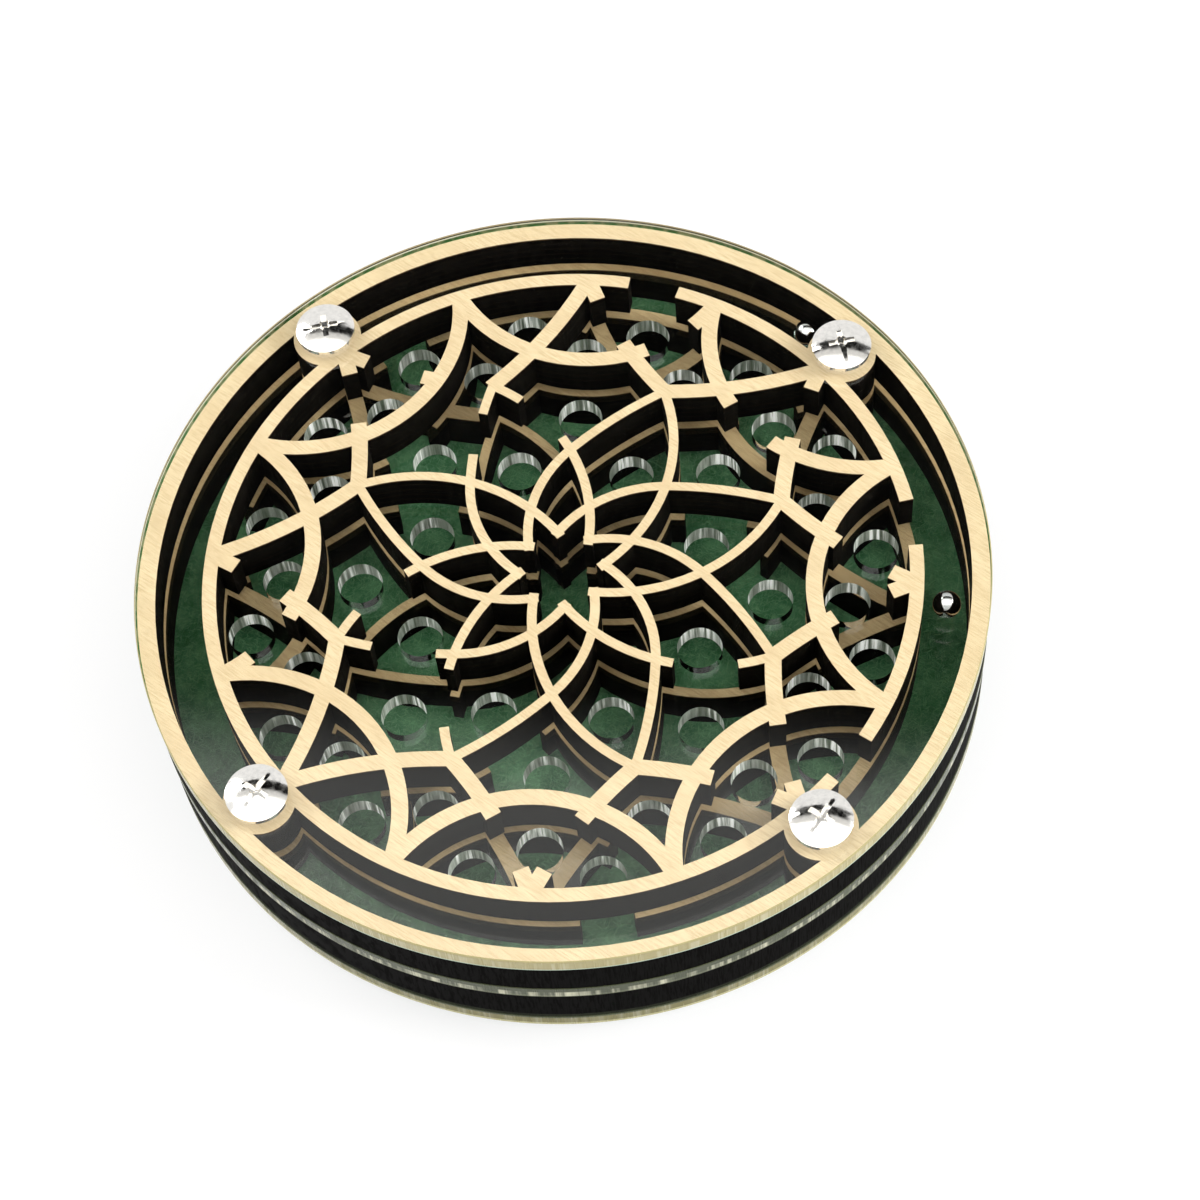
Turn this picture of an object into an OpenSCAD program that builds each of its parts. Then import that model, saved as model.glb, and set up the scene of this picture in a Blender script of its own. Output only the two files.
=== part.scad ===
// Round two-level dexterity puzzle: two laser-cut plywood mazes between clear plates,
// drilled so that small steel balls can drop from one level to the other.
// All sizes in millimetres. Z is up, and z = 0 is the underside of the four feet.

/* [Plates] */
// Diameter of the clear plates
plate_d = 120; // [100:1:150]
// Thickness of the clear cover
cover_t = 2.8; // [2:0.1:5]
// Thickness of the drilled plate between the two levels
middle_t = 2.8; // [2:0.1:5]
// Thickness of the base plate
base_t = 2.8; // [2:0.1:5]
// Thickness of the felt laid on the base plate
felt_t = 0.8; // [0.5:0.1:2]
// How far the plywood stays inside the edge of the plates
setback = 0.1; // [0:0.1:2]

/* [Mazes] */
// Thickness of the plywood of one level
ply_t = 6.4; // [5:0.1:9]
// Width of the closed ring around a level
ring_w = 2.6; // [1.6:0.1:3.5]
// Width of the round channel inside the ring
channel_w = 6.6; // [5.5:0.05:8]
// Width of the round wall of the maze
rim_w = 2.0; // [1.5:0.1:2.6]
// Width of the arches and of the spokes that cross them
arch_w = 2.3; // [1.6:0.1:2.6]
// Width of the petals in the middle
petal_w = 1.35; // [1.0:0.05:1.7]
// Radius of the bosses that carry the screws
boss_r = 5.0; // [4.2:0.1:5.5]

/* [Drop holes] */
// Diameter of the holes that the balls drop through
hole_d = 6.4; // [5.2:0.1:6.8]

/* [Fasteners] */
// Diameter of the screw and nut heads
head_d = 8.6; // [7.5:0.1:10]
// Height of a head at its middle
head_t = 1.6; // [1.3:0.1:2.2]
// Height of the straight edge of a head
head_edge = 0.7; // [0.4:0.1:1.0]
// Outside diameter of the barrel of a nut
barrel_d = 5.0; // [4.6:0.1:5.6]
// Diameter of the screw shank
shank_d = 3.9; // [3:0.1:4]
// Length of the screw shank
shank_l = 9.0; // [6:0.1:12]
// Room around a barrel in the plates, and around a shank in its barrel
fastener_gap = 0.1; // [0.05:0.05:0.25]

/* [Balls] */
// Diameter of the steel balls
ball_d = 4.0; // [3:0.1:4.4]
// Room under a ball
ball_gap = 0.05; // [0.02:0.01:0.2]

/* [Hidden] */
$fn = 96;

// Heights of the stack, from the feet up
base_z = head_t;
felt_z = base_z + base_t;
lower_z = felt_z + felt_t;
middle_z = lower_z + ply_t;
upper_z = middle_z + middle_t;
cover_z = upper_z + ply_t;
top_z = cover_z + cover_t;

// Radii, from the edge of the plates inwards
plate_r = plate_d / 2;
ring_out = plate_r - setback;
ring_in = ring_out - ring_w;
rim_out = ring_in - channel_w;
rim_r = rim_out - rim_w / 2;
bolt_r = ring_in - 0.57 * channel_w;
bolt_turns = [45, 135, 225, 315];

// The rosette repeats in eight sectors and follows the size of its round wall.
// An axis is the middle line of a sector, and a seam is the line between two sectors.
sector = 45;
seam = sector / 2;

// Arch: a circle about a point on the axis, through the two seams on the round wall
arch_c = 1.165 * rim_r;
arch_r = sqrt(rim_r * rim_r + arch_c * arch_c - 2 * rim_r * arch_c * cos(seam));
arch_end = atan2(rim_r * sin(seam), arch_c - rim_r * cos(seam));

// Each curve is given by three points, as a share of the wall's radius and an angle
spoke = [[1, 0], [0.794, 8.16], [0.660, seam]];
petal_up = [[0.1234, 10.2 - sector], [0.398, 0.95], [0.659, seam]];
petal_down_in = [[0.1234, 8.53 + sector], [0.2174, 28.34], [0.398, 0.95]];
petal_down_out = [[0.398, 0.95], [0.521, -12.34], [0.659, -seam]];

// Where a spoke crosses its arch, and where the stubs beside an opening end
spoke_cross = 0.645;
spoke_stub = 0.17;
cross_stub = 0.10;
petal_seam_stub = 0.70;
arch_stub = [25, 45.3];
arch_mid_stub = 11;
arch_over = 0.4;
rim_stub = 7;
tip_through = -0.030;
tip_let_in = -0.048;
let_in = 0.02;

// Which walls are open. Each entry is an axis number and a side, 1 or -1.
// A petal's entry also has the share of its outer half that is left as a stub at the crossing.
upper_rim_open = [[2, -1], [0, 1], [7, 1]];
upper_arch_open = [[2, -1], [4, 1]];
upper_mid_open = [1];
upper_spoke_shut = [[2, 1], [1, 1], [5, 1], [5, -1], [4, -1]];
upper_root_open = [[3, -1]];
upper_petal_open = [[2, 1, 0.15], [7, 1, 0.15], [5, 1, 0.15], [4, 1, 0.15], [5, -1, 0.15], [3, -1, 0.28]];

lower_rim_open = [[3, -1], [6, 1], [4, -1]];
lower_arch_open = [[0, -1], [6, 1]];
lower_mid_open = [3];
lower_spoke_shut = [[2, -1], [1, -1], [0, 1], [0, -1], [7, 1], [7, -1],
    [6, 1], [6, -1], [4, 1], [3, 1], [3, -1]];
lower_root_open = [[6, -1]];
lower_petal_open = [[5, 1, 0.15], [1, -1, 0.15], [0, 1, 0.15], [6, -1, 0.15], [3, 1, 0.15]];

// Drop holes: share of the wall's radius and the angle from the axis
drop_holes = [[0.431, seam], [0.590, 0], [0.769, seam], [0.809, 0], [0.902, 11.5], [0.902, -11.5]];

// Turn of the recess of each screw, in the order of bolt_turns
recess_turns = [105, 15, 62, 60];

// Where each ball lies: radius and angle
ball_1_at = [ring_in - ball_d / 2 - 0.3, 53.6];
ball_2_at = [(ring_in + rim_out) / 2, -0.9];

// A point at radius r and angle a
function polar(r, a) = [r * cos(a), r * sin(a)];

// A point of a curve table on the rosette of radius rim_r
function place(p) = polar(p[0] * rim_r, p[1]);

// Middle of the circle through three points
function middle_of(a, b, c) =
    let (d = 2 * (a.x * (b.y - c.y) + b.x * (c.y - a.y) + c.x * (a.y - b.y)))
    [(a * a * (b.y - c.y) + b * b * (c.y - a.y) + c * c * (a.y - b.y)) / d,
     (a * a * (c.x - b.x) + b * b * (a.x - c.x) + c * c * (b.x - a.x)) / d];

// Direction from o to p
function turn_of(o, p) = atan2(p.y - o.y, p.x - o.x);

// An angle brought into -180 to 180
function near(a) = a > 180 ? a - 360 : a < -180 ? a + 360 : a;

// Is the pair in the list?
function has(list, pair) = len([for (p = list) if (p == pair) p]) > 0;

// The stub of an open petal, or undef where the petal is closed
function stub(list, k, side) = [for (p = list) if (p[0] == k && p[1] == side) p[2]][0];

// The same curve on the other side of the axis
function flip(curve, side) = [for (p = curve) [p[0], side * p[1]]];

// A wall of width w on part of a circle, drawn flat
module arc_wall(o, r, from, sweep, w) {
    translate([o.x, o.y])
        rotate(from)
            intersection() {
                difference() {
                    circle(r = r + w / 2);
                    circle(r = r - w / 2);
                }
                polygon([[0, 0], for (i = [0:3]) polar(2 * (r + w), sweep * i / 3)]);
            }
}

// A wall along a three-point curve, from share f0 to share f1 of its length
module curve_wall(curve, w, f0, f1) {
    a = place(curve[0]);
    c = place(curve[2]);
    o = middle_of(a, place(curve[1]), c);
    start = turn_of(o, a);
    sweep = near(turn_of(o, c) - start);
    from = sweep > 0 ? start + sweep * f0 : start + sweep * f1;
    arc_wall(o, norm(a - o), from, abs(sweep) * (f1 - f0), w);
}

// A closed round wall, drawn flat
module hoop(r_out, r_in) {
    difference() {
        circle(r = r_out);
        circle(r = r_in);
    }
}

// The holes for the four barrels, through everything from z down and up by h
module bolt_holes(h) {
    for (a = bolt_turns)
        rotate(a)
            translate([bolt_r, 0, -1])
                cylinder(d = barrel_d + 2 * fastener_gap, h = h + 2);
}

// The round wall with its openings cut out
module rim(open) {
    difference() {
        hoop(rim_out, rim_out - rim_w);
        for (p = open) {
            gap = seam - 2 * rim_stub;
            from = p[0] * sector + (p[1] > 0 ? rim_stub : -seam + rim_stub);
            arc_wall([0, 0], rim_r, from, gap, 2 * rim_w);
        }
    }
}

// The arch of one sector, in one run or in stubs beside its opening
module arch(k, open, mid_open) {
    o = [arch_c, 0];
    low_open = has(open, [k, -1]);
    high_open = has(open, [k, 1]);
    mid = len([for (m = mid_open) if (m == k) m]) > 0;
    // Angles run about the arch's own middle, where 180 looks at the centre of the rosette
    end = arch_end + arch_over;
    high = high_open ? arch_stub[0] : end;
    low = low_open ? arch_stub[0] : end;
    rotate(k * sector) {
        if (mid) {
            arc_wall(o, arch_r, 180 - high, high - arch_mid_stub, arch_w);
            arc_wall(o, arch_r, 180 + arch_mid_stub, low - arch_mid_stub, arch_w);
        } else {
            arc_wall(o, arch_r, 180 - high, high + low, arch_w);
        }
        if (high_open)
            arc_wall(o, arch_r, 180 - end, end - arch_stub[1], arch_w);
        if (low_open)
            arc_wall(o, arch_r, 180 + arch_stub[1], end - arch_stub[1], arch_w);
    }
}

// One spoke, from the round wall on the axis over the arch to the seam
module spoke_wall(k, side, shut, root_open) {
    curve = flip(spoke, side);
    last = 1.015;
    start = shut ? 0 : spoke_cross - cross_stub;
    rotate(k * sector) {
        if (!shut)
            curve_wall(curve, arch_w, 0, spoke_stub);
        curve_wall(curve, arch_w, start, root_open ? spoke_cross : last);
    }
}

// The petal wall that runs through its crossing, from a point of the star to the seam
module petal_through(stub) {
    a = place(petal_up[0]);
    o = middle_of(a, place(petal_up[1]), place(petal_up[2]));
    start = turn_of(o, a);
    cross = near(turn_of(o, place(petal_up[1])) - start) / near(turn_of(o, place(petal_up[2])) - start);
    if (is_undef(stub)) {
        curve_wall(petal_up, petal_w, tip_through, 1);
    } else {
        curve_wall(petal_up, petal_w, tip_through, cross + stub * (1 - cross));
        curve_wall(petal_up, petal_w, cross + petal_seam_stub * (1 - cross), 1);
    }
}

// The petal wall that is let into the other one: its two halves end inside that wall
module petal_let_in(stub) {
    curve_wall(petal_down_in, petal_w, tip_let_in, 1 - let_in);
    if (is_undef(stub)) {
        curve_wall(petal_down_out, petal_w, let_in, 1);
    } else {
        curve_wall(petal_down_out, petal_w, let_in, stub);
        curve_wall(petal_down_out, petal_w, petal_seam_stub, 1);
    }
}

// One level: ring, bosses and rosette in one piece
module maze(rim_open, arch_open, mid_open, spoke_shut, root_open, petal_open) {
    linear_extrude(ply_t) difference() {
        union() {
            hoop(ring_out, ring_in);
            rim(rim_open);
            for (a = bolt_turns)
                rotate(a)
                    translate([bolt_r, 0])
                        circle(r = boss_r);
            for (k = [0:7]) {
                arch(k, arch_open, mid_open);
                rotate(k * sector) {
                    petal_through(stub(petal_open, k, 1));
                    petal_let_in(stub(petal_open, k, -1));
                }
                for (side = [-1, 1])
                    spoke_wall(k, side, has(spoke_shut, [k, side]), has(root_open, [k, side]));
            }
        }
        for (a = bolt_turns)
            rotate(a)
                translate([bolt_r, 0])
                    circle(d = barrel_d + 2 * fastener_gap);
    }
}

// A round plate with the four barrel holes
module plate(r, t) {
    difference() {
        cylinder(r = r, h = t);
        bolt_holes(t);
    }
}

// A low domed head that stands on z = 0
module head() {
    rise = head_t - head_edge;
    dome_r = (head_d * head_d / 4 + rise * rise) / (2 * rise);
    intersection() {
        cylinder(d = head_d, h = head_t);
        translate([0, 0, head_t - dome_r])
            sphere(r = dome_r);
    }
}

// Cross recess with a driver slot over it, cut down from the top of a head
module recess() {
    cross_l = 0.44 * head_d;
    cross_w = 0.095 * head_d;
    slot_l = 0.74 * head_d;
    slot_w = 0.07 * head_d;
    for (a = [0, 90])
        rotate(a)
            translate([-cross_l / 2, -cross_w / 2, -0.65 * head_t])
                cube([cross_l, cross_w, head_t]);
    translate([0, 0, -0.75 * head_t])
        cylinder(d1 = cross_w, d2 = 2.2 * cross_w, h = 0.8 * head_t);
    translate([-slot_l / 2, -slot_w / 2, -0.3 * head_t])
        cube([slot_l, slot_w, head_t]);
}

module base_plate() {
    color([0.80, 0.86, 0.74, 0.5])
        translate([0, 0, base_z])
            plate(plate_r, base_t);
}

module felt_lining() {
    color([0.10, 0.26, 0.14])
        translate([0, 0, felt_z])
            plate(ring_out, felt_t);
}

module lower_maze() {
    color([0.86, 0.70, 0.46])
        translate([0, 0, lower_z])
            maze(lower_rim_open, lower_arch_open, lower_mid_open,
                lower_spoke_shut, lower_root_open, lower_petal_open);
}

module middle_plate() {
    color([0.80, 0.86, 0.82, 0.4])
        translate([0, 0, middle_z])
            difference() {
                plate(plate_r, middle_t);
                for (k = [0:7])
                    for (p = drop_holes)
                        rotate(k * sector + p[1])
                            translate([p[0] * rim_r, 0, -1])
                                cylinder(d = hole_d, h = middle_t + 2);
            }
}

module upper_maze() {
    color([0.90, 0.76, 0.54])
        translate([0, 0, upper_z])
            maze(upper_rim_open, upper_arch_open, upper_mid_open,
                upper_spoke_shut, upper_root_open, upper_petal_open);
}

module cover_plate() {
    color([0.85, 0.90, 0.88, 0.3])
        translate([0, 0, cover_z])
            plate(plate_r, cover_t);
}

// A barrel nut: flat head below as a foot, barrel up through the stack, blind bore from its top
module nut(i) {
    barrel_top = cover_z + 0.65 * cover_t;
    bore_l = shank_l + 2;
    bevel = 0.25 * head_t;
    color([0.78, 0.78, 0.78])
        rotate(bolt_turns[i - 1])
            translate([bolt_r, 0, 0])
                difference() {
                    union() {
                        cylinder(d1 = head_d - 2 * bevel, d2 = head_d, h = bevel);
                        translate([0, 0, bevel])
                            cylinder(d = head_d, h = head_t - bevel);
                        translate([0, 0, head_t])
                            cylinder(d = barrel_d, h = barrel_top - head_t);
                    }
                    translate([0, 0, barrel_top - bore_l])
                        cylinder(d = shank_d + 2 * fastener_gap, h = bore_l + 1);
                    rotate(35)
                        translate([-0.37 * head_d, -0.05 * head_d, -1])
                            cube([0.74 * head_d, 0.1 * head_d, 1 + 0.4 * head_t]);
                }
}

// A screw: domed head on the cover, shank down into its barrel
module screw(i) {
    color([0.84, 0.84, 0.84])
        rotate(bolt_turns[i - 1])
            translate([bolt_r, 0, top_z])
                difference() {
                    union() {
                        head();
                        translate([0, 0, -shank_l])
                            cylinder(d = shank_d, h = shank_l + 0.1);
                    }
                    translate([0, 0, head_t])
                        rotate(recess_turns[i - 1] - bolt_turns[i - 1])
                            recess();
                }
}

// A steel ball in the round channel of the upper level
module ball(at) {
    p = polar(at[0], at[1]);
    color([0.75, 0.75, 0.75])
        translate([p.x, p.y, upper_z + ball_d / 2 + ball_gap])
            sphere(d = ball_d);
}

base_plate();
felt_lining();
lower_maze();
middle_plate();
upper_maze();
cover_plate();
nut(1);  // nut_1
nut(2);  // nut_2
nut(3);  // nut_3
nut(4);  // nut_4
screw(1);  // screw_1
screw(2);  // screw_2
screw(3);  // screw_3
screw(4);  // screw_4
ball(ball_1_at);  // ball_1
ball(ball_2_at);  // ball_2
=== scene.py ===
"""Looks of a round two-level ball maze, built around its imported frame.

The frame gives every piece its place and its joints. This script puts finely
made clear sheets, balls and fasteners in the place of the frame's coarser ones,
gives the two plywood mazes and the felt their materials, and lights the stack
as a product picture on white.
"""

from __future__ import annotations

import logging
import math
from dataclasses import dataclass
from enum import Enum
from typing import Any

import bpy
import numpy as np
from mathutils import Matrix, Vector
from mathutils.geometry import delaunay_2d_cdt


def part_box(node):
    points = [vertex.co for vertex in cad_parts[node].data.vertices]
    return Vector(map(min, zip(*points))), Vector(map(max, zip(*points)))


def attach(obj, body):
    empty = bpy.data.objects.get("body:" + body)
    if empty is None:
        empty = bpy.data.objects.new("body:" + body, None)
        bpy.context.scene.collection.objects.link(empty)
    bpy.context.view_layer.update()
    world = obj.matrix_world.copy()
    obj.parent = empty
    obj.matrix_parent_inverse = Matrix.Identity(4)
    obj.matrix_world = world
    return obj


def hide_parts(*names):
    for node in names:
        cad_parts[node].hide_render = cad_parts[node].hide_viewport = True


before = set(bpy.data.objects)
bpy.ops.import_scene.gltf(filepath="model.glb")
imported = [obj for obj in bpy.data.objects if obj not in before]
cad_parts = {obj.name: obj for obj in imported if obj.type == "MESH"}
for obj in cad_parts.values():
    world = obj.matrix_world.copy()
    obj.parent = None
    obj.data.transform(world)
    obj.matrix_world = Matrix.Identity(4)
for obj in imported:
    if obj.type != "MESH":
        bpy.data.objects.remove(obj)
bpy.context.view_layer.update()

LOG = logging.getLogger("ball_maze")
MM = 0.001
ACRYLIC_IOR = 1.49
UPRIGHT = 0.7
Colour = tuple[float, float, float]


class Body(Enum):
    """Bodies of the frame that pieces ride on."""

    CASE = "case"
    BALL_A = "ball_a"
    BALL_B = "ball_b"


class Face(Enum):
    """Material places of a clear sheet."""

    POLISHED = 0
    EDGE = 1
    BORE = 2


@dataclass(frozen=True)
class AcrylicFinish:
    """Finish of one surface of a clear sheet.

    Args:
        tint: Colour that light takes on in the sheet.
        rough: Mean roughness.
        spread: How far the roughness varies.
        streak: Depth of the cutter's upright marks in millimetres.
        pitch: Marks per millimetre.
        painted_glow_strength: Strength of the painted glow of the bores, which stands in for light that the sheet
            guides to them.
    """

    tint: Colour
    rough: float
    spread: float
    streak: float = 0.0
    pitch: float = 2.0
    painted_glow_strength: float = 0.4


@dataclass(frozen=True)
class PaintedEdgeReflections:
    """Colours of the sawn or beam-cut outer edge of a clear sheet, which are painted reflections and painted glints.

    Args:
        foot: Colour of the lowest part of the edge, a painted reflection.
        body: Colour of the part above it, a painted reflection.
        crown: Colour of the upper part, a painted reflection.
        spark: Colour of the painted glints along the cutter's marks.
        inner: Painted colours seen through the sheet on its far edge, from the foot up.
        levels: Shares of the height where foot ends and where crown starts.
        dash: How strongly the painted glints show.
        bottom: Height of the sheet's lower face in millimetres.
        thick: Thickness of the sheet in millimetres.
    """

    foot: Colour
    body: Colour
    crown: Colour
    spark: Colour
    inner: tuple[Colour, Colour, Colour, Colour]
    levels: tuple[float, float]
    dash: float
    bottom: float
    thick: float


@dataclass(frozen=True)
class PlyFinish:
    """Finish of a laser-cut plywood board.

    Args:
        pale: Colour of the face veneer.
        dark: Colour of its grain lines.
        burnt: Colour of the cut walls.
        glue: Colour of the plies that show in the walls.
        turn: Direction of the grain in degrees.
        bottom: Height of the board's lower face in millimetres.
        thick: Thickness of the board in millimetres.
        rim: Radius beyond which the walls take a quarter of the burnt colour, in millimetres.
    """

    pale: Colour
    dark: Colour
    burnt: Colour
    glue: Colour
    turn: float
    bottom: float
    thick: float
    rim: float = 59.0


@dataclass(frozen=True)
class FeltFinish:
    """Finish of the felt.

    Args:
        deep: Colour between the fibres.
        light: Colour of the fibres.
        cut: Colour of the cut edge, partly its scorching and partly painted shade.
    """

    deep: Colour
    light: Colour
    cut: Colour


@dataclass(frozen=True)
class MetalFinish:
    """Finish of a bright metal piece.

    Args:
        tint: Colour of the metal.
        rough: Mean roughness.
        spread: How far the roughness varies.
        grain: Noise features per millimetre.
    """

    tint: Colour
    rough: float
    spread: float
    grain: float


class Writer:
    """Writes nodes into one node tree.

    Args:
        tree: Node tree to write into.
    """

    def __init__(self, tree: bpy.types.NodeTree) -> None:
        self.tree = tree

    def add(self, kind: str, values: dict[Any, Any] | None = None, **settings: Any) -> bpy.types.Node:
        """Adds one node.

        Args:
            kind: Node type.
            values: Input values or sockets, by input name or index.
            settings: Plain properties of the node.

        Returns:
            The new node.
        """
        node = self.tree.nodes.new(kind)
        for name, setting in settings.items():
            setattr(node, name, setting)
        for key, value in (values or {}).items():
            self.feed(node.inputs[key], value)
        return node

    def feed(self, socket: bpy.types.NodeSocket, value: Any) -> None:
        """Sets an input to a plain value or links a socket to it."""
        if isinstance(value, bpy.types.NodeSocket):
            self.tree.links.new(value, socket)
        else:
            socket.default_value = value

    def math(self, operation: str, first: Any, second: Any = 0.0, clamp: bool = False) -> bpy.types.NodeSocket:
        """Works out one operation on two values."""
        node = self.add("ShaderNodeMath", {0: first, 1: second}, operation=operation, use_clamp=clamp)
        return node.outputs[0]

    def mix(self, share: Any, first: Any, second: Any) -> bpy.types.NodeSocket:
        """Mixes two colours by a share from 0 to 1."""
        node = self.add("ShaderNodeMix", data_type="RGBA")
        self.feed(node.inputs[0], share)
        for index, value in ((6, first), (7, second)):
            self.feed(node.inputs[index], value if isinstance(value, bpy.types.NodeSocket) else (*value, 1.0))
        return node.outputs[2]

    def span(self, value: Any, low: float, high: float, start: float = 0.0, end: float = 1.0) -> bpy.types.NodeSocket:
        """Maps the range low to high onto start to end, with a soft bend at both ends."""
        node = self.add(
            "ShaderNodeMapRange",
            {0: value, 1: low, 2: high, 3: start, 4: end},
            interpolation_type="SMOOTHSTEP",
        )
        return node.outputs[0]

    def noise(self, place: Any, scale: float, detail: float, rough: float) -> bpy.types.NodeSocket:
        """Gives a noise value at a place."""
        node = self.add(
            "ShaderNodeTexNoise", {"Vector": place, "Scale": scale, "Detail": detail, "Roughness": rough}
        )
        return node.outputs[0]


class Effects:
    """Shared effects, kept as node groups that give out masks and values."""

    @staticmethod
    def _begin(name: str, inputs: tuple[tuple[str, str], ...], outputs: tuple[str, ...]) -> tuple[Writer, Any, Any]:
        """Starts a node group.

        Args:
            name: Name of the group.
            inputs: Name and socket type of each input.
            outputs: Name of each value that it gives out.

        Returns:
            Its writer, the group's input node and its output node.
        """
        tree = bpy.data.node_groups.new(name, "ShaderNodeTree")
        for label, kind in inputs:
            tree.interface.new_socket(label, in_out="INPUT", socket_type=kind)
        for label in outputs:
            tree.interface.new_socket(label, in_out="OUTPUT", socket_type="NodeSocketFloat")
        writer = Writer(tree)
        return writer, writer.add("NodeGroupInput"), writer.add("NodeGroupOutput")

    @classmethod
    def grain(cls) -> bpy.types.NodeTree:
        """Wood grain: fine lines along x, and slow bands of tone."""
        writer, given, out = cls._begin(
            "grain", (("Place", "NodeSocketVector"), ("Turn", "NodeSocketFloat")), ("Lines", "Tone")
        )
        spin = writer.add(
            "ShaderNodeVectorRotate",
            {"Vector": given.outputs[0], "Angle": given.outputs[1]},
            rotation_type="Z_AXIS",
        )
        fine = writer.add("ShaderNodeMapping", {"Vector": spin.outputs[0], "Scale": (420.0, 5200.0, 300.0)})
        slow = writer.add("ShaderNodeMapping", {"Vector": spin.outputs[0], "Scale": (22.0, 190.0, 60.0)})
        lines = writer.noise(fine.outputs[0], 1.0, 4.0, 0.62)
        tone = writer.noise(slow.outputs[0], 1.0, 3.0, 0.55)
        writer.feed(out.inputs[0], writer.span(lines, 0.40, 0.68))
        writer.feed(out.inputs[1], writer.span(tone, 0.32, 0.70))
        return writer.tree

    @classmethod
    def plies(cls) -> bpy.types.NodeTree:
        """Ply lines of a cut wall, by the share of the board's height."""
        writer, given, out = cls._begin(
            "plies", (("Place", "NodeSocketVector"), ("Height", "NodeSocketFloat")), ("Lines", "Soot")
        )
        stretch = writer.add("ShaderNodeMapping", {"Vector": given.outputs[0], "Scale": (260.0, 260.0, 900.0)})
        waver = writer.noise(stretch.outputs[0], 1.0, 2.0, 0.5)
        shift = writer.math("MULTIPLY", writer.math("SUBTRACT", waver, 0.5), 0.05)
        height = writer.math("ADD", given.outputs[1], shift)
        wave = writer.math("PINGPONG", writer.math("MULTIPLY", height, 5.0), 0.5)
        writer.feed(out.inputs[0], writer.span(wave, 0.10, 0.02))
        soot = writer.add("ShaderNodeMapping", {"Vector": given.outputs[0], "Scale": (900.0, 900.0, 260.0)})
        writer.feed(out.inputs[1], writer.span(writer.noise(soot.outputs[0], 1.0, 4.0, 0.6), 0.35, 0.72))
        return writer.tree

    @classmethod
    def streaks(cls) -> bpy.types.NodeTree:
        """Upright marks of a cutting beam: noise that doesn't change with height."""
        writer, given, out = cls._begin(
            "streaks", (("Place", "NodeSocketVector"), ("Pitch", "NodeSocketFloat")), ("Marks", "Bands")
        )
        squash = (1000.0, 1000.0, 40.0)
        flat = writer.add("ShaderNodeVectorMath", {0: given.outputs[0], 1: squash}, operation="MULTIPLY")
        close = writer.add("ShaderNodeVectorMath", {0: flat.outputs[0]}, operation="SCALE")
        writer.feed(close.inputs["Scale"], given.outputs[1])
        writer.feed(out.inputs[0], writer.span(writer.noise(close.outputs[0], 1.0, 2.0, 0.6), 0.30, 0.70))
        writer.feed(out.inputs[1], writer.span(writer.noise(flat.outputs[0], 0.7, 1.0, 0.5), 0.40, 0.62))
        return writer.tree

    @classmethod
    def fibres(cls) -> bpy.types.NodeTree:
        """Felt: matted fibres and a slow mottle."""
        writer, given, out = cls._begin("fibres", (("Place", "NodeSocketVector"),), ("Fibre", "Mottle"))
        bend = writer.add("ShaderNodeTexNoise", {"Vector": given.outputs[0], "Scale": 900.0, "Detail": 2.0})
        sway = (0.9 * MM, 0.9 * MM, 0.0)
        push = writer.add("ShaderNodeVectorMath", {0: bend.outputs["Color"], 1: sway}, operation="MULTIPLY")
        moved = writer.add("ShaderNodeVectorMath", {0: given.outputs[0], 1: push.outputs[0]}, operation="ADD")
        hairs = []
        for turn in (0.5, 1.7, 2.7):
            spin = writer.add(
                "ShaderNodeVectorRotate", {"Vector": moved.outputs[0], "Angle": turn}, rotation_type="Z_AXIS"
            )
            long = writer.add("ShaderNodeMapping", {"Vector": spin.outputs[0], "Scale": (900.0, 6000.0, 900.0)})
            hairs.append(writer.span(writer.noise(long.outputs[0], 1.0, 2.0, 0.5), 0.52, 0.74))
        both = writer.math("MAXIMUM", writer.math("MAXIMUM", hairs[0], hairs[1]), hairs[2])
        writer.feed(out.inputs[0], both)
        writer.feed(out.inputs[1], writer.span(writer.noise(given.outputs[0], 330.0, 4.0, 0.6), 0.30, 0.70))
        return writer.tree

    @classmethod
    def haze(cls) -> bpy.types.NodeTree:
        """Fine handling marks on a polished surface."""
        writer, given, out = cls._begin(
            "haze", (("Place", "NodeSocketVector"), ("Grain", "NodeSocketFloat")), ("Haze",)
        )
        scaled = writer.add("ShaderNodeVectorMath", {0: given.outputs[0]}, operation="SCALE")
        writer.feed(scaled.inputs["Scale"], writer.math("MULTIPLY", given.outputs[1], 1000.0))
        writer.feed(out.inputs[0], writer.span(writer.noise(scaled.outputs[0], 1.0, 4.0, 0.6), 0.30, 0.72))
        return writer.tree


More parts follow.
